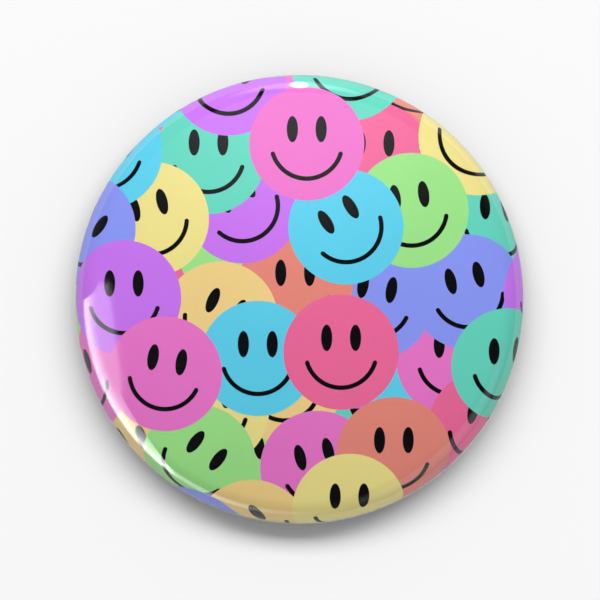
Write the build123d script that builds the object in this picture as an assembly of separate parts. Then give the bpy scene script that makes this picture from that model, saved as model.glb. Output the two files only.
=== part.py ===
from build123d import *
import os
from math import cos, radians, sin

# Round button badge, 58 mm across, worn by a riveted brooch bar with a hinged pin and a turning safety catch.
# Millimetres. +Z points out of the printed face and +Y to the top of the badge. The origin is the centre of
# the ring on the back plate that the badge lies on, so the face is up and the pin is underneath.

# ---- driving dimensions ---------------------------------------------------------------------------------

BADGE_RADIUS = 29.0
SHOULDER_RADIUS = 3.6  # the face rolls over into the side with this radius
CURL_RADIUS = 2.2  # the side rolls in under the badge with this radius
RIM_SLOPE = 8.0  # degrees, how far the crowned face leans where it meets the shoulder
CURL_TURN = 62.0  # degrees, how far the side turns in before the shell ends
SIDE_HEIGHT = 2.24  # height of the widest circle

FILM = 0.08
PAPER = 0.15
SHELL = 0.25
PLATE = 0.28
LAYER_GAP = 0.02  # air between one pressed layer and the next
TUCK_TURN = 12.0  # degrees below the widest circle, where paper and film end inside the shell
LIP_TURN = 6.0  # degrees below the widest circle, where the back plate's lip ends

DISH_DEPTH = 3.6  # how far the back plate's floor is sunk above the resting ring
DISH_RADIUS = 22.4
RING_INNER = 24.2  # inner edge of the resting ring
RIB_INNER, RIB_OUTER, RIB_HEIGHT = 18.7, 20.7, 0.35  # stiffening rib pressed into the dish
RIB_SLANT = 0.5

BAR_Y = 5.0  # the bar sits above the middle, so that the worn badge hangs face forward
BAR_THICKNESS = 0.5
BAR_WIDTH = 5.2
AXIS_HEIGHT = 1.65  # height of the closed pin's centreline
HINGE_X = -14.0
CATCH_START, CATCH_END = 12.0, 15.1  # ends of the fixed catch tube along X

WIRE_RADIUS = 0.4
EYE_RADIUS = 0.95  # centreline of the eye bent in the pin's root
ROOT_RADIUS, ROOT_LENGTH = 0.36, 0.85  # the wire draws thinner where it is bent into the eye
TAPER_START, TIP_X = 10.6, 15.7
TIP_RADIUS = 0.06

HINGE_SHANK = 0.5
EAR_RADIUS = 1.3
EAR_THICKNESS = 0.5
EAR_GAP = 1.1  # between the ears' inner faces
TUBE_OUTER, TUBE_INNER = 1.5, 1.15
TUBE_SLOT = 1.1
BARREL_OUTER, BARREL_BORE = 1.1, 0.5
BARREL_SLOT = 1.0
COLLAR_RADIUS, COLLAR_LENGTH = 1.38, 0.3
FLANGE_RADIUS, FLANGE_LENGTH = 1.4, 0.7
END_PLAY = 0.1
LEVER_REACH, LEVER_WIDTH = 1.75, 0.7
LEVER_REST = -38.0  # degrees from +Y towards +Z, with the catch open
NECK_FILLET = 0.6
SOFT_EDGE = 0.12  # tumbled edges of the stamped and turned pieces

RIVET_X = 7.0  # the bar's two rivets, either side of its middle
RIVET_SHANK = 0.75
RIVET_HEAD, RIVET_HEAD_HEIGHT = 1.5, 0.2
RIVET_TAIL, RIVET_TAIL_HEIGHT = 1.25, 0.45
HOLE_CLEARANCE = 0.02

# ---- sizes that follow ----------------------------------------------------------------------------------

SHOULDER_CENTRE = (BADGE_RADIUS - SHOULDER_RADIUS, SIDE_HEIGHT)
CURL_CENTRE = (BADGE_RADIUS - CURL_RADIUS, SIDE_HEIGHT)
DOME_RADIUS = SHOULDER_CENTRE[0] / sin(radians(RIM_SLOPE)) + SHOULDER_RADIUS
DOME_CENTRE = (0.0, SIDE_HEIGHT - (DOME_RADIUS - SHOULDER_RADIUS) * cos(radians(RIM_SLOPE)))

PAPER_TOP = FILM + LAYER_GAP  # depths below the film's outer surface
SHELL_TOP = PAPER_TOP + PAPER + LAYER_GAP
SHELL_BOTTOM = SHELL_TOP + SHELL
FOLD_DEPTH = (SHELL_TOP + SHELL_BOTTOM) / 2  # paper and film fold round the middle of the shell's edge
LIP_DEPTH = 2 * FOLD_DEPTH + LAYER_GAP

BAR_BACK = DISH_DEPTH - BAR_THICKNESS  # height of the bar's exposed face
FLOOR_TOP = DISH_DEPTH + PLATE


def point_on(centre, radius, angle):
    """The point at an angle, in degrees, on a circle of the cross-section."""
    return (centre[0] + radius * cos(radians(angle)), centre[1] + radius * sin(radians(angle)))


FOLD_CENTRE = point_on(CURL_CENTRE, CURL_RADIUS - FOLD_DEPTH, -CURL_TURN)


# ---- pressed front: shell, paper and film, which share one section ---------------------------------------


def skin(depth):
    """The section from the axis over the face and shoulder to the shell's edge, at a depth below the film."""
    return [
        CenterArc(DOME_CENTRE, DOME_RADIUS - depth, 90 - RIM_SLOPE, RIM_SLOPE),
        CenterArc(SHOULDER_CENTRE, SHOULDER_RADIUS - depth, 0, 90 - RIM_SLOPE),
        CenterArc(CURL_CENTRE, CURL_RADIUS - depth, -CURL_TURN, CURL_TURN),
    ]


def fold(depth):
    """The half turn round the shell's edge."""
    return CenterArc(FOLD_CENTRE, FOLD_DEPTH - depth, 180 - CURL_TURN, 180)


def tuck(depth):
    """The stretch that runs back up inside the shell."""
    return CenterArc(CURL_CENTRE, CURL_RADIUS - 2 * FOLD_DEPTH + depth, -CURL_TURN, CURL_TURN - TUCK_TURN)


def axis_line(upper, lower):
    """The section's edge on the badge's axis, between two depths."""
    top = DOME_CENTRE[1] + DOME_RADIUS
    return Line((0, top - upper), (0, top - lower))


def turned(edges):
    """The solid of revolution of a closed section."""
    return revolve(Plane.XZ * make_face(edges), Axis.Z)


def wrapped_sheet(upper, lower):
    """A sheet between two depths, pressed over the shell, folded round its edge and tucked inside."""
    ends = [tuck(depth) @ 1 for depth in (upper, lower)]
    edges = [*skin(upper), fold(upper), tuck(upper), Line(*ends)]
    edges += [*skin(lower), fold(lower), tuck(lower), axis_line(upper, lower)]
    return turned(edges)


def front_shell():
    edges = [*skin(SHELL_TOP), fold(SHELL_TOP), *skin(SHELL_BOTTOM), axis_line(SHELL_TOP, SHELL_BOTTOM)]
    return turned(edges)


def printed_paper():
    return wrapped_sheet(PAPER_TOP, PAPER_TOP + PAPER)


def clear_film():
    return wrapped_sheet(0, FILM)


# ---- back plate ------------------------------------------------------------------------------------------


def rivet_places():
    return [Pos(side * RIVET_X, BAR_Y, 0) for side in (-1, 1)]


def upright_rod(radius, low, high):
    """A vertical cylinder between two heights."""
    return Pos(0, 0, (low + high) / 2) * Cylinder(radius, high - low)


def back_plate():
    """Dished plate whose outer lip follows the inside of the curled shell and locks under it."""
    lip_radius = CURL_RADIUS - LIP_DEPTH
    lip_foot = point_on(CURL_CENTRE, lip_radius, -CURL_TURN)
    cone_run = lip_foot[1] * sin(radians(CURL_TURN)) / cos(radians(CURL_TURN))
    rib_back = DISH_DEPTH - RIB_HEIGHT
    corners = [
        (0, DISH_DEPTH),
        (RIB_INNER, DISH_DEPTH),
        (RIB_INNER + RIB_SLANT, rib_back),
        (RIB_OUTER - RIB_SLANT, rib_back),
        (RIB_OUTER, DISH_DEPTH),
        (DISH_RADIUS, DISH_DEPTH),
        (RING_INNER, 0),
        (lip_foot[0] - cone_run, 0),
        lip_foot,
    ]
    bends = [0.4, 0.4, 0.4, 0.4, 0.8, 0.5, 0.5]
    run = FilletPolyline(*corners, radius=bends)
    lip = CenterArc(CURL_CENTRE, lip_radius, -CURL_TURN, CURL_TURN - LIP_TURN)
    back_line = Wire([*run.edges(), lip.edge()])
    section = offset(back_line, PLATE, side=Side.LEFT, closed=True)
    plate = turned(section.edges())
    holes = [place * upright_rod(RIVET_SHANK + HOLE_CLEARANCE, 0, 2 * DISH_DEPTH) for place in rivet_places()]
    return plate - holes


# ---- brooch bar and its rivets ---------------------------------------------------------------------------


def rod_along_x(radius, start, end):
    """A cylinder on the closed pin's centreline."""
    middle = Pos((start + end) / 2, BAR_Y, AXIS_HEIGHT)
    return middle * Rot(0, 90, 0) * Cylinder(radius, end - start)


def slot_below(width, start, end, reach):
    """The box that opens a tube towards the wearer, from the pin's centreline down."""
    return Pos((start + end) / 2, BAR_Y, AXIS_HEIGHT - reach / 2) * Box(end - start, width, reach)


def rod_along_y(radius, length):
    """A cylinder on the hinge's axis."""
    return Pos(HINGE_X, BAR_Y, AXIS_HEIGHT) * Rot(90, 0, 0) * Cylinder(radius, length)


def bar_strip():
    """The bar's flat strip: wide in the middle, with a neck for the ears and one for the catch tube."""
    ear_span = EAR_GAP + 2 * EAR_THICKNESS
    body_start, body_end = HINGE_X + 2.2, CATCH_START - 1.2
    neck_start = HINGE_X - EAR_RADIUS
    body = Pos((body_start + body_end) / 2, BAR_Y) * RectangleRounded(body_end - body_start, BAR_WIDTH, 1.9)
    hinge_neck = Pos((neck_start + body_start + 2) / 2, BAR_Y) * Rectangle(body_start + 2 - neck_start, ear_span)
    catch_neck = Pos((body_end - 2 + CATCH_END) / 2, BAR_Y) * Rectangle(CATCH_END - body_end + 2, 2 * TUBE_OUTER - 0.4)
    outline = body + hinge_neck + catch_neck
    inner_corners = outline.vertices().filter_by_position(Axis.X, body_start, body_start + 0.5)
    inner_corners += outline.vertices().filter_by_position(Axis.X, body_end - 0.5, body_end)
    return Pos(0, 0, BAR_BACK) * extrude(fillet(inner_corners, NECK_FILLET), BAR_THICKNESS)


def hinge_ears():
    """Two ears folded down beside the pin's eye."""
    tab = Pos(HINGE_X, (AXIS_HEIGHT + DISH_DEPTH) / 2) * Rectangle(2 * EAR_RADIUS, DISH_DEPTH - AXIS_HEIGHT)
    outline = tab + Pos(HINGE_X, AXIS_HEIGHT) * Circle(EAR_RADIUS)
    ear = extrude(Plane.XZ * outline, EAR_THICKNESS / 2, both=True)
    reach = (EAR_GAP + EAR_THICKNESS) / 2
    return [Pos(0, BAR_Y + side * reach, 0) * ear for side in (-1, 1)]


def exposed_rim(bar):
    """The edges round the strip's exposed face, from the ears to the catch tube."""
    level = bar.edges().filter_by_position(Axis.Z, BAR_BACK, BAR_BACK)
    side = level.filter_by(lambda edge: abs(edge.center().Y - BAR_Y) > EAR_GAP / 2 + EAR_THICKNESS - 0.01)
    return side.filter_by(lambda edge: edge.center().X > HINGE_X + EAR_RADIUS)


def on_ear_end(edge):
    """True for the round edges at the ears' free ends."""
    near = abs(edge.center().X - HINGE_X) < EAR_RADIUS / 2
    return edge.geom_type == GeomType.CIRCLE and near


def brooch_bar():
    """Stamped bar with hinge ears at one end and a slotted catch tube at the other."""
    tube = rod_along_x(TUBE_OUTER, CATCH_START, CATCH_END)
    web_height = BAR_BACK - AXIS_HEIGHT
    web_middle = Pos((CATCH_START + CATCH_END) / 2, BAR_Y, AXIS_HEIGHT + web_height / 2)
    web = web_middle * Box(CATCH_END - CATCH_START, 1.6, web_height)
    bar = bar_strip() + hinge_ears() + tube + web
    bar = fillet(exposed_rim(bar), SOFT_EDGE)
    bar = fillet(bar.edges().filter_by(on_ear_end), SOFT_EDGE)
    bar -= rod_along_x(TUBE_INNER, CATCH_START, CATCH_END)
    bar -= slot_below(TUBE_SLOT, CATCH_START, CATCH_END, 2 * TUBE_OUTER)
    bar -= rod_along_y(HINGE_SHANK + HOLE_CLEARANCE, 2 * BAR_WIDTH)
    return bar - [place * upright_rod(RIVET_SHANK + HOLE_CLEARANCE, 0, 2 * DISH_DEPTH) for place in rivet_places()]


def bar_rivet():
    """Low-headed rivet through bar and plate, with its tail spread inside the badge."""
    head_low, tail_high = BAR_BACK - RIVET_HEAD_HEIGHT, FLOOR_TOP + RIVET_TAIL_HEIGHT
    head = upright_rod(RIVET_HEAD, head_low, BAR_BACK)
    head = fillet(head.edges().sort_by(Axis.Z)[0], RIVET_HEAD_HEIGHT * 0.8)
    tail = upright_rod(RIVET_TAIL, FLOOR_TOP, tail_high)
    tail = fillet(tail.edges().sort_by(Axis.Z)[-1], RIVET_TAIL_HEIGHT * 0.6)
    return head + upright_rod(RIVET_SHANK, head_low + 0.05, tail_high - 0.05) + tail


def bar_rivets():
    rivet = bar_rivet()
    return Compound(children=[place * rivet for place in rivet_places()])


def hinge_rivet():
    """Pin through both ears and the pin's eye, with a low dome on each side."""
    ear_face = EAR_GAP / 2 + EAR_THICKNESS
    head_height, head_radius = 0.32, 0.85
    rivet = rod_along_y(HINGE_SHANK, 2 * ear_face + head_height)
    for side in (-1, 1):
        middle = Pos(0, side * (ear_face + HOLE_CLEARANCE + head_height / 2), 0)
        head = middle * rod_along_y(head_radius, head_height)
        outer_rim = head.edges().filter_by(GeomType.CIRCLE).sort_by(Axis.Y)[-1 if side > 0 else 0]
        rivet += fillet(outer_rim, head_height * 0.7)
    return rivet


# ---- moving pieces ---------------------------------------------------------------------------------------


def cone_along_x(start_radius, end_radius, start, end):
    """A tapered stretch on the closed pin's centreline."""
    middle = Pos((start + end) / 2, BAR_Y, AXIS_HEIGHT)
    return middle * Rot(0, 90, 0) * Cone(start_radius, end_radius, end - start)


def pin_stem():
    """Wire pin: an eye round the hinge rivet, a straight stem and a long tapered point."""
    eye = Pos(HINGE_X, BAR_Y, AXIS_HEIGHT) * Rot(90, 0, 0) * Torus(EYE_RADIUS, WIRE_RADIUS)
    root_start = HINGE_X + EYE_RADIUS
    root_end = root_start + ROOT_LENGTH
    root = cone_along_x(ROOT_RADIUS, WIRE_RADIUS, root_start, root_end)
    stem = rod_along_x(WIRE_RADIUS, root_end, TAPER_START)
    return eye + root + stem + cone_along_x(WIRE_RADIUS, TIP_RADIUS, TAPER_START, TIP_X)


def safety_catch():
    """Slotted barrel that turns in the bar's catch tube, held by a collar at one end and a flange at the other."""
    start = CATCH_START - END_PLAY - COLLAR_LENGTH
    flange_start = CATCH_END + END_PLAY
    end = flange_start + FLANGE_LENGTH
    barrel = rod_along_x(BARREL_OUTER, start, end)
    barrel += rod_along_x(COLLAR_RADIUS, start, start + COLLAR_LENGTH)
    barrel += rod_along_x(FLANGE_RADIUS, flange_start, end)
    lever = Pos(LEVER_REACH / 2, 0) * SlotOverall(LEVER_REACH + LEVER_WIDTH, LEVER_WIDTH)
    lever = Pos(flange_start, BAR_Y, AXIS_HEIGHT) * Rot(LEVER_REST, 0, 0) * extrude(Plane.YZ * lever, FLANGE_LENGTH)
    barrel += lever
    barrel = fillet(barrel.faces().sort_by(Axis.X)[-1].edges(), SOFT_EDGE)
    barrel -= rod_along_x(BARREL_BORE, start, end)
    return barrel - slot_below(BARREL_SLOT, start, end, 2 * FLANGE_RADIUS)


NODES = {
    "front_shell": front_shell,
    "printed_paper": printed_paper,
    "clear_film": clear_film,
    "back_plate": back_plate,
    "brooch_bar": brooch_bar,
    "bar_rivets": bar_rivets,
    "hinge_rivet": hinge_rivet,
    "pin_stem": pin_stem,
    "safety_catch": safety_catch,
}

os.makedirs("parts", exist_ok=True)
for node, build in NODES.items():
    export_step(build(), f"parts/{node}.step")
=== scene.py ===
import random
from math import atan2, cos, hypot, pi, radians, sin, sqrt

import bpy
import numpy as np
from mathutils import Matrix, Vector
from mathutils.geometry import delaunay_2d_cdt

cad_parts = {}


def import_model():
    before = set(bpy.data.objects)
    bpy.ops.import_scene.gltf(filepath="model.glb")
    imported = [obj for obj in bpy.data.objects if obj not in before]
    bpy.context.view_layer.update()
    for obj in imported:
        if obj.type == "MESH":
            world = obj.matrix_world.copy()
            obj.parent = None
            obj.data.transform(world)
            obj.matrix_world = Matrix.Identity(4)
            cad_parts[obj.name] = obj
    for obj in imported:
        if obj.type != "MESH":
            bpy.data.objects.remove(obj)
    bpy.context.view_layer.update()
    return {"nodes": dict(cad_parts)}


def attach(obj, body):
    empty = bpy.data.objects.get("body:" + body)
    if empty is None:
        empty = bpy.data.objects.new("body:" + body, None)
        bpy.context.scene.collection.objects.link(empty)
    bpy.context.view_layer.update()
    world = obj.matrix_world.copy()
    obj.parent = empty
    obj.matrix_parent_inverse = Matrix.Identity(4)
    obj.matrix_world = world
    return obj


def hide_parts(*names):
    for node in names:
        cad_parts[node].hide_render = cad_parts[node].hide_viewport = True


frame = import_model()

# The badge lies face up: +Z out of the face, +Y to the top of the print. The sections below are in millimetres,
# as the CAD gives them, and every mesh is in metres.

MM = 0.001

# ---- the pressed front's section ------------------------------------------------------------------------

BADGE_RADIUS = 29.0
SHOULDER_RADIUS = 3.6
CURL_RADIUS = 2.2
RIM_SLOPE = 8.0  # degrees that the crowned face leans where it meets the shoulder
CURL_TURN = 62.0  # degrees that the side turns in before the shell's edge
TUCK_TURN = 12.0  # degrees below the widest circle where the sheets end inside the shell
SIDE_HEIGHT = 2.24

FILM = 0.08
PAPER = 0.15
SHELL = 0.25
LAYER_GAP = 0.02

SHOULDER_CENTRE = (BADGE_RADIUS - SHOULDER_RADIUS, SIDE_HEIGHT)
CURL_CENTRE = (BADGE_RADIUS - CURL_RADIUS, SIDE_HEIGHT)
DOME_RADIUS = SHOULDER_CENTRE[0] / sin(radians(RIM_SLOPE)) + SHOULDER_RADIUS
DOME_CENTRE = (0.0, SIDE_HEIGHT - (DOME_RADIUS - SHOULDER_RADIUS) * cos(radians(RIM_SLOPE)))
PAPER_TOP = FILM + LAYER_GAP
SHELL_TOP = PAPER_TOP + PAPER + LAYER_GAP
FOLD_DEPTH = SHELL_TOP + SHELL / 2
FOLD_CENTRE = (
    CURL_CENTRE[0] + (CURL_RADIUS - FOLD_DEPTH) * cos(radians(CURL_TURN)),
    CURL_CENTRE[1] - (CURL_RADIUS - FOLD_DEPTH) * sin(radians(CURL_TURN)),
)

PLEAT_HEIGHT = 0.05  # how far the crimp's small pleats stand out at the shell's edge
PLEAT_START = 0.25  # share of the curl that stays smooth
PLEATS = 62


class Stretch:
    """One arc of a sheet's section. facing is 1 where the sheet's face looks away from the arc's centre."""

    def __init__(self, centre, radius, start, end, facing, lift):
        self.centre = centre
        self.radius = radius
        self.start = radians(start)
        self.end = radians(end)
        self.facing = facing
        self.lift = lift
        self.length = radius * abs(self.end - self.start)

    def at(self, share):
        """Radius and height of a point, the normal there, and how much the pleats lift it."""
        angle = self.start + (self.end - self.start) * share
        across, up = cos(angle), sin(angle)
        point = (self.centre[0] + self.radius * across, self.centre[1] + self.radius * up)
        return (*point, self.facing * across, self.facing * up, self.lift(share))


def smooth(share):
    share = min(max(share, 0.0), 1.0)
    return share * share * (3 - 2 * share)


def sheet_section(depth):
    """The arcs of a wrapped sheet's face, from the axis to the tucked edge, at a depth below the film's face."""
    tuck_radius = CURL_RADIUS - 2 * FOLD_DEPTH + depth
    flat = lambda share: 0.0
    rising = lambda share: smooth((share - PLEAT_START) / (1 - PLEAT_START))
    falling = lambda share: smooth(1 - 2 * share)
    return [
        Stretch(DOME_CENTRE, DOME_RADIUS - depth, 90, 90 - RIM_SLOPE, 1, flat),
        Stretch(SHOULDER_CENTRE, SHOULDER_RADIUS - depth, 90 - RIM_SLOPE, 0, 1, flat),
        Stretch(CURL_CENTRE, CURL_RADIUS - depth, 0, -CURL_TURN, 1, rising),
        Stretch(FOLD_CENTRE, FOLD_DEPTH - depth, -CURL_TURN, -CURL_TURN - 180, 1, falling),
        Stretch(CURL_CENTRE, tuck_radius, -CURL_TURN, -TUCK_TURN, -1, flat),
    ]


def pleat(angle):
    """Height of the crimp's pleats round the badge, from 0 to 1, uneven as a pressed edge is."""
    wander = 2.2 * sin(5 * angle) + 1.4 * sin(11 * angle + 1.0)
    size = 0.7 + 0.3 * sin(3 * angle + 0.5)
    return size * (0.5 + 0.5 * cos(PLEATS * angle + wander))


def placed(sample, angle):
    """A section sample turned to an angle, as a point and a normal."""
    r, z, normal_r, normal_z, lift = sample
    rise = PLEAT_HEIGHT * lift * pleat(angle)
    r, z = r + rise * normal_r, z + rise * normal_z
    across, along = cos(angle), sin(angle)
    return (r * across * MM, r * along * MM, z * MM), (normal_r * across, normal_r * along, normal_z)


def mesh_object(name, points, faces, normals=None):
    mesh = bpy.data.meshes.new(name)
    mesh.from_pydata(points, [], faces)
    mesh.polygons.foreach_set("use_smooth", [True] * len(mesh.polygons))
    if normals is not None:
        mesh.normals_split_custom_set_from_vertices(normals)
    mesh.update()
    made = bpy.data.objects.new(name, mesh)
    bpy.context.scene.collection.objects.link(made)
    return made


def lathe(samples, turns):
    """Points, normals and faces of a closed section that starts and ends on the axis, turned in steps."""
    points, normals = [], []
    for end in (samples[0], samples[-1]):
        points.append((0.0, 0.0, end[1] * MM))
        normals.append((0.0, 0.0, end[3]))
    for sample in samples[1:-1]:
        for step in range(turns):
            point, normal = placed(sample, 2 * pi * step / turns)
            points.append(point)
            normals.append(normal)
    at = lambda ring, step: 2 + ring * turns + step % turns
    last = len(samples) - 3
    faces = [(0, at(0, step), at(0, step + 1)) for step in range(turns)]
    for ring in range(last):
        for step in range(turns):
            faces.append((at(ring, step), at(ring + 1, step), at(ring + 1, step + 1), at(ring, step + 1)))
    faces += [(at(last, step), 1, at(last, step + 1)) for step in range(turns)]
    return points, normals, faces


def sampled(stretches, counts):
    """Samples along a sheet's face: the axis, then so many evenly spaced on each stretch."""
    samples = [stretches[0].at(0)]
    for stretch, count in zip(stretches, counts):
        samples += [stretch.at((step + 1) / count) for step in range(count)]
    return samples


def reversed_face(samples):
    """The same samples with their normals turned round, for a sheet's inner side."""
    return [(r, z, -normal_r, -normal_z, -lift) for r, z, normal_r, normal_z, lift in reversed(samples)]


# ---- materials ------------------------------------------------------------------------------------------


def linear(red, green, blue):
    """A display colour, 0 to 255, as the linear colour that a shader takes."""
    curve = lambda v: v / 12.92 if v <= 0.04045 else ((v + 0.055) / 1.055) ** 2.4
    return (curve(red / 255), curve(green / 255), curve(blue / 255), 1.0)


class Nodes:
    """The node tree of a material or world, with its nodes added one call each."""

    def __init__(self, owner):
        owner.use_nodes = True
        self.tree = owner.node_tree
        self.tree.nodes.clear()

    def add(self, kind, inputs=None, **settings):
        made = self.tree.nodes.new("ShaderNode" + kind)
        for key, value in settings.items():
            setattr(made, key, value)
        for key, value in (inputs or {}).items():
            if isinstance(value, bpy.types.NodeSocket):
                self.tree.links.new(value, made.inputs[key])
            else:
                made.inputs[key].default_value = value
        return made

    def noise(self, vector, scale, detail=2.0, roughness=0.5):
        inputs = {"Vector": vector, "Scale": scale, "Detail": detail, "Roughness": roughness}
        return self.add("TexNoise", inputs).outputs["Fac"]

    def spread(self, value, low, high, start=0.3, end=0.7):
        """A texture's values from start to end, spread over low to high."""
        inputs = {"Value": value, "From Min": start, "From Max": end, "To Min": low, "To Max": high}
        return self.add("MapRange", inputs).outputs["Result"]

    def stretched(self, vector, scale):
        return self.add("Mapping", {"Vector": vector, "Scale": scale}).outputs["Vector"]

    def surface(self, shader, output):
        self.add(output, {"Surface": shader.outputs[0]})


def printed_paper_material():
    """Coated paper: flat inks with a fine press mottle, slow changes in ink density and a faint tooth."""
    material = bpy.data.materials.new("Printed paper")
    nodes = Nodes(material)
    place = nodes.add("TexCoord").outputs["Object"]
    ink = nodes.add("Attribute", attribute_name="Ink").outputs["Color"]
    mottle = nodes.spread(nodes.noise(place, 7000, 2.0), 0.975, 1.02)
    density = nodes.spread(nodes.noise(place, 90, 1.0), 0.985, 1.015)
    amount = nodes.add("Math", {0: mottle, 1: density}, operation="MULTIPLY").outputs[0]
    colour = nodes.add("VectorMath", {0: ink, "Scale": amount}, operation="SCALE").outputs["Vector"]
    tooth = nodes.noise(place, 9000, 3.0, 0.6)
    bump = nodes.add("Bump", {"Height": tooth, "Strength": 0.25, "Distance": 0.000004}).outputs["Normal"]
    gloss = nodes.spread(tooth, 0.34, 0.46)
    paper = {"Base Color": colour, "Roughness": gloss, "Normal": bump, "Specular IOR Level": 0.05}
    nodes.surface(nodes.add("BsdfPrincipled", paper), "OutputMaterial")
    return material


def clear_film_material():
    """Clear polyester: nearly invisible square on, more and more of a mirror towards the edge."""
    material = bpy.data.materials.new("Clear film")
    nodes = Nodes(material)
    place = nodes.add("TexCoord").outputs["Object"]
    wave = nodes.noise(place, 70, 1.0)
    fine = nodes.noise(place, 2600, 2.0)
    slack = nodes.add("Bump", {"Height": wave, "Strength": 0.1, "Distance": 0.00005}).outputs["Normal"]
    skin = {"Height": fine, "Strength": 0.1, "Distance": 0.000001, "Normal": slack}
    normal = nodes.add("Bump", skin).outputs["Normal"]
    facing = nodes.add("LayerWeight", {"Blend": 0.5, "Normal": normal}).outputs["Facing"]
    steep = nodes.add("Math", {0: facing, 1: 5.0}, operation="POWER").outputs[0]
    share = nodes.add("Math", {0: steep, 1: 0.12, 2: 0.035}, operation="MULTIPLY_ADD").outputs[0]
    clear = nodes.add("BsdfTransparent", {"Color": (0.985, 0.985, 0.985, 1)})
    gloss = nodes.add("BsdfGlossy", {"Color": (1, 1, 1, 1), "Roughness": 0.045, "Normal": normal})
    mixed = nodes.add("MixShader", {0: share, 1: clear.outputs[0], 2: gloss.outputs[0]})
    nodes.surface(mixed, "OutputMaterial")
    return material


def metal_material(name, colour, grain, roughness, wear_scale, bump_height):
    """Bright metal with a directional grain, uneven polish and a few duller patches."""
    material = bpy.data.materials.new(name)
    nodes = Nodes(material)
    place = nodes.add("TexCoord").outputs["Object"]
    lines = nodes.noise(nodes.stretched(place, grain), 1.0, 3.0, 0.6)
    wear = nodes.noise(place, wear_scale, 3.0, 0.6)
    low, high = roughness
    polish = nodes.spread(lines, low, high)
    dull = nodes.spread(wear, 0.85, 1.35, 0.4, 0.75)
    rough = nodes.add("Math", {0: polish, 1: dull}, operation="MULTIPLY").outputs[0]
    shade = nodes.spread(lines, 0.94, 1.04)
    worn = nodes.spread(wear, 1.02, 0.93, 0.35, 0.75)
    tone = nodes.add("Math", {0: shade, 1: worn}, operation="MULTIPLY").outputs[0]
    tint = nodes.add("VectorMath", {0: colour, "Scale": tone}, operation="SCALE").outputs["Vector"]
    bump = nodes.add("Bump", {"Height": lines, "Strength": 0.5, "Distance": bump_height}).outputs["Normal"]
    metal = {"Base Color": tint, "Metallic": 1.0, "Roughness": rough, "Normal": bump}
    nodes.surface(nodes.add("BsdfPrincipled", metal), "OutputMaterial")
    return material


# ---- printed face ---------------------------------------------------------------------------------------

PALETTE = [
    linear(226, 213, 135),  # yellow
    linear(222, 113, 192),  # pink
    linear(149, 216, 131),  # light green
    linear(131, 144, 232),  # periwinkle
    linear(219, 130, 117),  # salmon
    linear(190, 112, 227),  # purple
    linear(90, 197, 225),  # cyan
    linear(225, 101, 148),  # rose
    linear(229, 199, 132),  # apricot
    linear(97, 202, 181),  # teal
]
INK_BLACK = linear(10, 10, 13)
PAPER_WHITE = linear(244, 243, 239)

DISC_RADIUS = 7.4
EYE_ACROSS, EYE_UP = 1.85, 1.85  # an eye's centre from the disc's centre
EYE_HALF_WIDTH, EYE_HALF_HEIGHT = 0.72, 1.7
MOUTH_RADIUS, MOUTH_STROKE = 4.55, 0.58
MOUTH_CORNER = 17.0  # degrees below level where the smile ends
DISC_STEPS, EYE_STEPS, MOUTH_STEPS, CAP_STEPS = 120, 36, 44, 6
TILTS = [0, 0, 0, 8, -10, 14, -24, 32, -38]  # degrees that a face may lean

PRINT_SEED = 2158
LOWER_DISCS = (10.6, 0.8, 0.4)  # spacing and jitter of the lattice, and its turn in radians
UPPER_DISCS = (11.4, 2.3, 1.1)
FACE_RINGS = (11, 16, 12, 6, 3)  # rings on each stretch of the printed side
FACE_TURNS = (180, 180, 360, 360, 360)  # steps round each of those rings; finer on the curl, for the pleats
BACK_RINGS = (8, 12, 10, 5, 2)
FILM_FACE_RINGS = (24, 20, 14, 6, 3)
FILM_BACK_RINGS = (12, 14, 12, 5, 2)
FILM_TURNS = 360


class Disc:
    """One printed disc with a plain smiling face, in flat coordinates on the paper."""

    def __init__(self, x, y, tilt):
        self.x, self.y = x, y
        self.tilt = radians(tilt)
        self.ink = None

    def turned(self, points):
        across, along = cos(self.tilt), sin(self.tilt)
        return [(self.x + across * x - along * y, self.y + along * x + across * y) for x, y in points]

    def outlines(self):
        """The closed outlines of the disc, its eyes and its mouth."""
        eye = ellipse(EYE_HALF_WIDTH, EYE_HALF_HEIGHT, EYE_STEPS)
        eyes = [[(x + side * EYE_ACROSS, y + EYE_UP) for x, y in eye] for side in (-1, 1)]
        shapes = [ellipse(DISC_RADIUS, DISC_RADIUS, DISC_STEPS), *eyes, smile()]
        return [self.turned(shape) for shape in shapes]


def ellipse(half_width, half_height, steps):
    angles = [2 * pi * step / steps for step in range(steps)]
    return [(half_width * cos(angle), half_height * sin(angle)) for angle in angles]


def bow(centre, radius, start, end, steps):
    """Points on an arc, both ends included. Angles in degrees."""
    angles = [radians(start + (end - start) * step / steps) for step in range(steps + 1)]
    return [(centre[0] + radius * cos(angle), centre[1] + radius * sin(angle)) for angle in angles]


def smile():
    """A round-ended stroke along the lower part of a circle."""
    left, right = 180 + MOUTH_CORNER, 360 - MOUTH_CORNER
    half = MOUTH_STROKE / 2
    outer = bow((0, 0), MOUTH_RADIUS + half, left, right, MOUTH_STEPS)
    right_end = bow((0, 0), MOUTH_RADIUS, right, right, 1)[0]
    left_end = bow((0, 0), MOUTH_RADIUS, left, left, 1)[0]
    right_cap = bow(right_end, half, right, right + 180, CAP_STEPS)[1:-1]
    inner = bow((0, 0), MOUTH_RADIUS - half, right, left, MOUTH_STEPS)
    left_cap = bow(left_end, half, left + 180, left + 360, CAP_STEPS)[1:-1]
    return outer + right_cap + inner + left_cap


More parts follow.
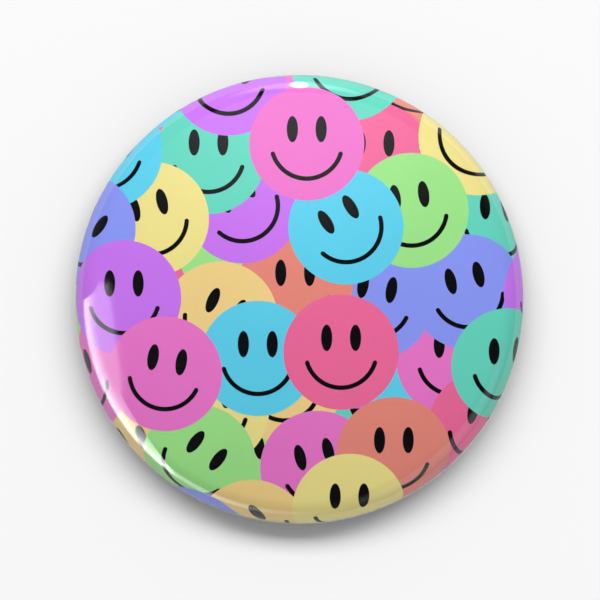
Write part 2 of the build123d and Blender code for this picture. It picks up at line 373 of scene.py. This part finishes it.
def scattered(spacing, jitter, turn, reach, dice):
    """Discs on a hexagonal lattice, turned and pushed about, with some tilted faces among the upright ones."""
    rows = int(reach / spacing) + 2
    row_height = spacing * sqrt(3) / 2
    discs = []
    for row in range(-rows, rows + 1):
        for column in range(-rows, rows + 1):
            x = (column + 0.5 * (row % 2)) * spacing + dice.uniform(-jitter, jitter)
            y = row * row_height + dice.uniform(-jitter, jitter)
            tilt = dice.choice(TILTS)
            x, y = x * cos(turn) - y * sin(turn), x * sin(turn) + y * cos(turn)
            if hypot(x, y) < reach + DISC_RADIUS:
                discs.append(Disc(x, y, tilt))
    dice.shuffle(discs)
    return discs


def ink_discs(discs, dice):
    """Gives each disc an ink that the discs round it don't have, and uses all the inks about as often."""
    used = [0] * len(PALETTE)
    for index, disc in enumerate(discs):
        costs = []
        for ink in range(len(PALETTE)):
            near = 0.0
            for other in discs[:index]:
                gap = hypot(other.x - disc.x, other.y - disc.y)
                if other.ink == ink and gap < 2.6 * DISC_RADIUS:
                    near += 10.0 - gap / DISC_RADIUS
            costs.append(near + used[ink] * 0.8 + dice.random())
        disc.ink = costs.index(min(costs))
        used[disc.ink] += 1


def inside_disc(points, disc, radius=DISC_RADIUS):
    return np.hypot(points[:, 0] - disc.x, points[:, 1] - disc.y) < radius


def face_mask(points, disc):
    """Which points lie in a disc's eyes or mouth."""
    x, y = points[:, 0] - disc.x, points[:, 1] - disc.y
    across, along = cos(disc.tilt), sin(disc.tilt)
    x, y = across * x + along * y, across * y - along * x
    eye = np.hypot((np.abs(x) - EYE_ACROSS) / EYE_HALF_WIDTH, (y - EYE_UP) / EYE_HALF_HEIGHT) < 1
    corner = radians(MOUTH_CORNER)
    ends = np.hypot(np.abs(x) - MOUTH_RADIUS * cos(corner), y + MOUTH_RADIUS * sin(corner)) < MOUTH_STROKE / 2
    stroke = np.abs(np.hypot(x, y) - MOUTH_RADIUS) < MOUTH_STROKE / 2
    below = np.arctan2(-y, np.abs(x)) > corner
    return eye | ends | (stroke & below)


def print_lines(discs, reach):
    """The visible edges between inks, as points and pairs of points."""
    points, edges = [], []
    for rank, disc in enumerate(discs):
        later = discs[rank + 1:]
        above = [other for other in later if hypot(other.x - disc.x, other.y - disc.y) < 2 * DISC_RADIUS]
        for outline in disc.outlines():
            flat = np.array(outline)
            hidden = np.hypot(flat[:, 0], flat[:, 1]) > reach
            for other in above:
                hidden |= inside_disc(flat, other, DISC_RADIUS * 0.999)
            start = len(points)
            points += outline
            count = len(outline)
            for step in range(count):
                following = (step + 1) % count
                if not (hidden[step] and hidden[following]):
                    edges.append((start + step, start + following))
    used = sorted({index for edge in edges for index in edge})
    renumbered = {index: place for place, index in enumerate(used)}
    return [points[index] for index in used], [(renumbered[a], renumbered[b]) for a, b in edges]


def printed_face():
    """The paper as one closed sheet whose face is divided along the edges of the print."""
    dice = random.Random(PRINT_SEED)
    face_stretches = sheet_section(PAPER_TOP)
    back_stretches = sheet_section(PAPER_TOP + PAPER)
    reach = sum(stretch.length for stretch in face_stretches)
    lower = scattered(*LOWER_DISCS, reach, dice)
    upper = scattered(*UPPER_DISCS, reach, dice)
    discs = lower + upper
    ink_discs(discs, dice)
    points, edges = print_lines(discs, reach)

    # rings that carry the section's curvature
    ring_distances, ring_turns, done = [], [], 0.0
    for stretch, count, turns in zip(face_stretches, FACE_RINGS, FACE_TURNS):
        ring_distances += [done + stretch.length * (step + 1) / count for step in range(count)]
        ring_turns += [turns] * count
        done += stretch.length
    points.append((0.0, 0.0))
    for distance, turns in zip(ring_distances, ring_turns):
        start = len(points)
        points += ellipse(distance, distance, turns)
        edges += [(start + step, start + (step + 1) % turns) for step in range(turns)]
    rim_start = len(points) - ring_turns[-1]

    vectors = [Vector(point) for point in points]
    cut = delaunay_2d_cdt(vectors, edges, [], 0, 1e-5)
    flat = np.array([tuple(v) for v in cut[0]])
    triangles = np.array(cut[2])
    centres = flat[triangles].mean(axis=1)
    triangles = triangles[np.hypot(centres[:, 0], centres[:, 1]) < reach]
    centres = flat[triangles].mean(axis=1)

    colours = np.tile(np.array(PALETTE[0]), (len(triangles), 1))
    for disc in discs:
        within = inside_disc(centres, disc)
        colours[within] = PALETTE[disc.ink]
        colours[within & face_mask(centres, disc)] = INK_BLACK

    used = np.unique(triangles)
    renumbered = np.full(len(flat), -1)
    renumbered[used] = np.arange(len(used))
    triangles = renumbered[triangles]
    ends = np.cumsum([0.0] + [stretch.length for stretch in face_stretches])
    mesh_points, normals = [], []
    for x, y in flat[used]:
        distance = min(hypot(x, y), reach)
        index = min(int(np.searchsorted(ends, distance, side="right")) - 1, len(face_stretches) - 1)
        sample = face_stretches[index].at((distance - ends[index]) / face_stretches[index].length)
        point, normal = placed(sample, atan2(y, x))
        mesh_points.append(point)
        normals.append(normal)
    faces = [tuple(int(i) for i in triangle) for triangle in triangles]

    # the outermost ring's vertices, in order round the badge
    rim_turns = ring_turns[-1]
    new_index = {}
    for index, origins in enumerate(cut[3]):
        for origin in origins:
            new_index[origin] = index
    rim = [int(renumbered[new_index[rim_start + step]]) for step in range(rim_turns)]

    # the paper's unprinted side, from the tucked edge back to the axis, and its cut edge
    back_samples = reversed_face(sampled(back_stretches, BACK_RINGS))
    first = len(mesh_points)
    for sample in back_samples[:-1]:
        for step in range(rim_turns):
            point, normal = placed(sample, 2 * pi * step / rim_turns)
            mesh_points.append(point)
            normals.append(normal)
    mesh_points.append((0.0, 0.0, back_samples[-1][1] * MM))
    normals.append((0.0, 0.0, -1.0))
    rings = [rim] + [
        [first + ring * rim_turns + step for step in range(rim_turns)] for ring in range(len(back_samples) - 1)
    ]
    for outer, inner in zip(rings, rings[1:]):
        for step in range(rim_turns):
            following = (step + 1) % rim_turns
            faces.append((outer[step], inner[step], inner[following], outer[following]))
    pole = len(mesh_points) - 1
    for step in range(rim_turns):
        faces.append((rings[-1][step], pole, rings[-1][(step + 1) % rim_turns]))

    made = mesh_object("printed_face", mesh_points, faces, normals)
    ink = made.data.color_attributes.new("Ink", "FLOAT_COLOR", "CORNER")
    plain = len(made.data.loops) - 3 * len(triangles)
    values = np.vstack([np.repeat(colours, 3, axis=0), np.tile(np.array(PAPER_WHITE), (plain, 1))])
    ink.data.foreach_set("color", values.astype(np.float32).ravel())
    made.data.materials.append(printed_paper_material())
    print("printed_face:", len(discs), "discs,", len(faces), "faces")
    return made


# ---- film -----------------------------------------------------------------------------------------------


def film():
    """The clear film as one closed sheet over the paper."""
    face = sampled(sheet_section(0.0), FILM_FACE_RINGS)
    back = reversed_face(sampled(sheet_section(FILM), FILM_BACK_RINGS))
    points, normals, faces = lathe(face + back, FILM_TURNS)
    made = mesh_object("film", points, faces, normals)
    made.data.materials.append(clear_film_material())
    return made


# ---- assembly -------------------------------------------------------------------------------------------

paper_piece = printed_face()
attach(paper_piece, "badge")
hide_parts("printed_paper")

film_piece = film()
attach(film_piece, "badge")
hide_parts("clear_film")


def dress(node, material):
    """Gives a CAD node's object its finish."""
    for place in frame["nodes"][node].material_slots:
        place.link = "OBJECT"
        place.material = material


tinplate = metal_material(
    "Rolled tinplate",
    colour=(0.60, 0.61, 0.61),
    grain=(60, 5200, 60),
    roughness=(0.26, 0.42),
    wear_scale=110,
    bump_height=0.0000008,
)
nickel = metal_material(
    "Nickel plate",
    colour=(0.84, 0.79, 0.70),
    grain=(500, 2600, 900),
    roughness=(0.12, 0.2),
    wear_scale=420,
    bump_height=0.0000006,
)
wire_steel = metal_material(
    "Drawn wire",
    colour=(0.74, 0.74, 0.74),
    grain=(60, 5200, 5200),
    roughness=(0.14, 0.26),
    wear_scale=600,
    bump_height=0.000001,
)

METALS = {
    "front_shell": tinplate,
    "back_plate": tinplate,
    "brooch_bar": nickel,
    "bar_rivets": nickel,
    "hinge_rivet": nickel,
    "safety_catch": nickel,
    "pin_stem": wire_steel,
}
for node, finish in METALS.items():
    dress(node, finish)

# ---- stage ----------------------------------------------------------------------------------------------

FLOOR_RINGS = (40.0, 200.0, 1500.0)
FLOOR_TURNS = 96
FLOOR_HEIGHT = -0.02  # just clear of the ring that the badge rests on
BACKDROP = 0.94  # how bright the room behind the floor looks to the camera
FADE_START, FADE_END = 60.0, 240.0  # radii over which the floor fades into the backdrop, to the camera


def floor():
    """A pale floor that fades into the backdrop. It is clear from below and lets light up under the badge."""
    turns, height = FLOOR_TURNS, FLOOR_HEIGHT * MM
    points = [(0.0, 0.0, height)]
    for radius in FLOOR_RINGS:
        points += [(x * MM, y * MM, height) for x, y in ellipse(radius, radius, turns)]
    at = lambda ring, step: 1 + ring * turns + step % turns
    faces = [(0, at(0, step), at(0, step + 1)) for step in range(turns)]
    for ring in (0, 1):
        for step in range(turns):
            faces.append((at(ring, step), at(ring + 1, step), at(ring + 1, step + 1), at(ring, step + 1)))
    made = mesh_object("floor", points, faces)
    material = bpy.data.materials.new("Pale floor")
    nodes = Nodes(material)
    place = nodes.add("TexCoord").outputs["Object"]
    tone = nodes.spread(nodes.noise(place, 6, 2.0), 0.998, 1.002)
    colour = nodes.add("VectorMath", {0: (0.9, 0.9, 0.9), "Scale": tone}, operation="SCALE").outputs["Vector"]
    matte = nodes.add("BsdfDiffuse", {"Color": colour})
    clear = nodes.add("BsdfTransparent")
    behind = nodes.add("NewGeometry").outputs["Backfacing"]
    reach = nodes.add("VectorMath", {0: place}, operation="LENGTH").outputs["Value"]
    under = nodes.add("Math", {0: reach, 1: BADGE_RADIUS * MM}, operation="LESS_THAN").outputs[0]
    seen = nodes.add("LightPath").outputs["Is Camera Ray"]
    let_in = nodes.add("Math", {0: under, 1: seen}, operation="SUBTRACT", use_clamp=True).outputs[0]
    ramp = {"Value": reach, "From Min": FADE_START * MM, "From Max": FADE_END * MM}
    far = nodes.add("MapRange", ramp, interpolation_type="SMOOTHSTEP").outputs["Result"]
    faded = nodes.add("Math", {0: far, 1: seen}, operation="MULTIPLY").outputs[0]
    from_above = nodes.add("Math", {0: faded, 1: let_in}, operation="MAXIMUM").outputs[0]
    open_share = nodes.add("Math", {0: behind, 1: from_above}, operation="MAXIMUM").outputs[0]
    mixed = nodes.add("MixShader", {0: open_share, 1: matte.outputs[0], 2: clear.outputs[0]})
    nodes.surface(mixed, "OutputMaterial")
    made.data.materials.append(material)
    return made


floor_piece = floor()
for piece in (paper_piece, film_piece):
    piece.visible_diffuse = False  # no coloured light from the print on the floor
badge_pieces = [paper_piece, film_piece] + [frame["nodes"][node] for node in METALS]


def softbox(name, place, size, radiance, lit, seen=False):
    """An area light at a place in millimetres, aimed at the badge. It lights only the objects given."""
    data = bpy.data.lights.new(name, "AREA")
    data.shape = "RECTANGLE"
    data.size, data.size_y = size[0] * MM, size[1] * MM
    data.energy = radiance * pi * data.size * data.size_y
    made = bpy.data.objects.new(name, data)
    made.location = Vector(place) * MM
    made.rotation_euler = (-Vector(place)).to_track_quat("-Z", "Y").to_euler()
    made.visible_glossy = seen
    bpy.context.scene.collection.objects.link(made)
    group = bpy.data.collections.new(name + " lights these")
    for piece in lit:
        group.objects.link(piece)
    made.light_linking.receiver_collection = group
    return made


def aloft(distance, elevation, across=0.0):
    """A place over the badge's top edge, at a distance and an angle above the floor."""
    return (across, distance * cos(radians(elevation)), distance * sin(radians(elevation)))


softbox("face key", aloft(120, 55), (180, 130), 2.8, badge_pieces)
softbox("face fill", aloft(320, 140), (320, 200), 0.6, badge_pieces)
softbox("floor key", aloft(2200, 51, 85), (3900, 745), 6.7, [floor_piece])
softbox("underside", (90, 120, -420), (420, 420), 1.2, badge_pieces, seen=True)


SOFT_LIGHT = 0.38  # the room's even light on what isn't glossy
WINDOW_NEAR = (-0.951, -0.122, -0.286)  # planes that bound the window, each facing into it
WINDOW_LOWER = (-0.822, 0.548, -0.153)
WINDOW_TOP = (0.007, -1.0, 0.029)
FRONT_RADIANCE = 4.0
GLINT_HALF_WIDTH, GLINT_HALF_HEIGHT, GLINT_UP, GLINT_RADIANCE = 0.05, 0.36, 0.2, 24.0
ROUND_LAMPS = (  # aim, degrees within which it is full, degrees beyond which it is gone, radiance
    ((0, 0.407, 0.914), 2, 25, 0.6),  # glow over the face
    ((0, 0.97, 0.25), 2, 24, 2.6),  # halo round the glint
    ((0.62, -0.62, 0.48), 10, 36, 0.8),  # beside the front, low at the right
    ((-0.35, 0.45, -0.82), 18, 34, 1.0),  # underneath, for the back
)


def world():
    """Soft even light. What the gloss mirrors is a dark room with a window, a glint and four soft lamps."""
    made = bpy.data.worlds.new("Studio")
    nodes = Nodes(made)
    way = nodes.add("TexCoord").outputs["Generated"]
    across, along, up = nodes.add("SeparateXYZ", {0: way}).outputs

    def total(*parts):
        """The sum of some values, each either a value or a value and a factor."""
        running = 0.0
        for value, factor in parts:
            inputs = {0: value, 1: factor, 2: running}
            running = nodes.add("Math", inputs, operation="MULTIPLY_ADD").outputs[0]
        return running

    def product(first, second):
        return nodes.add("Math", {0: first, 1: second}, operation="MULTIPLY").outputs[0]

    def step(value, start, end, low=0.0, high=1.0):
        inputs = {"Value": value, "From Min": start, "From Max": end, "To Min": low, "To Max": high}
        return nodes.add("MapRange", inputs, interpolation_type="SMOOTHSTEP").outputs["Result"]

    def beyond(plane):
        """How far a direction lies past a plane through the middle, along the plane's normal."""
        return total((across, plane[0]), (along, plane[1]), (up, plane[2]))

    def lamp(aim, inner, outer, radiance):
        """A round soft lamp, full within one angle of its aim and gone beyond another."""
        nearness = beyond(Vector(aim).normalized())
        share = step(nearness, cos(radians(outer)), cos(radians(inner)))
        return product(product(share, share), radiance)

    # the window: three sharp edges, brightest low down, gone at the floor and past the badge's front
    near_edge = step(beyond(WINDOW_NEAR), -0.002, 0.003)
    lower_edge = step(beyond(WINDOW_LOWER), -0.002, 0.003)
    top_edge = step(beyond(WINDOW_TOP), -0.002, 0.004)
    front_edge = step(total((across, -1.0), (up, 0.35)), 0.0, 0.5)
    height = product(step(up, 1.0, 0.3, 2.2, 8.5), step(up, -0.05, 0.3))
    window = product(product(product(near_edge, lower_edge), product(top_edge, front_edge)), height)

    # the low end of the window, which fades out round the badge's front
    sill = product(step(up, -0.02, 0.12), step(up, 0.5, 0.3))
    front = product(product(step(across, 0.3, -0.7), step(along, -0.2, -0.5)), product(sill, FRONT_RADIANCE))

    # the glint: a narrow upright lamp low behind the badge's top edge
    spot_across = nodes.add("Math", {0: across, 1: GLINT_HALF_WIDTH}, operation="DIVIDE").outputs[0]
    spot_up = total((up, 1 / GLINT_HALF_HEIGHT), (1.0, -GLINT_UP / GLINT_HALF_HEIGHT))
    spot_square = total((product(spot_across, spot_across), 1.0), (product(spot_up, spot_up), 1.0))
    glint = product(product(step(spot_square, 1.0, 0.0), step(along, 0.3, 0.5)), GLINT_RADIANCE)

    room = step(up, 0.95, 0.1, 0.01, 0.13)
    ground = step(up, -0.05, -0.5, 0.0, 0.22)
    round_lamps = [lamp(*settings) for settings in ROUND_LAMPS]
    mirrored = total(*[(part, 1.0) for part in (window, front, glint, room, ground, *round_lamps)])

    path = nodes.add("LightPath").outputs
    soft = nodes.spread(path["Is Camera Ray"], SOFT_LIGHT, BACKDROP, 0.0, 1.0)
    strength = nodes.add("Mix", {"Factor": path["Is Glossy Ray"], "A": soft, "B": mirrored}).outputs[0]
    background = nodes.add("Background", {"Color": (1, 1, 1, 1), "Strength": strength})
    nodes.surface(background, "OutputWorld")
    bpy.context.scene.world = made


world()

FIELD_WIDTH = 77.4  # what the frame takes in across the badge's widest circle
CAMERA_HEIGHT = 760.0
AIM = (0.10, -0.12)

SENSOR_WIDTH = 36.0

lens = bpy.data.cameras.new("camera")
lens.sensor_width = SENSOR_WIDTH
lens.lens = SENSOR_WIDTH * (CAMERA_HEIGHT - SIDE_HEIGHT) / FIELD_WIDTH
camera = bpy.data.objects.new("camera", lens)
camera.location = Vector((*AIM, CAMERA_HEIGHT)) * MM
bpy.context.scene.collection.objects.link(camera)
bpy.context.scene.camera = camera
bpy.context.scene.view_settings.view_transform = "Standard"
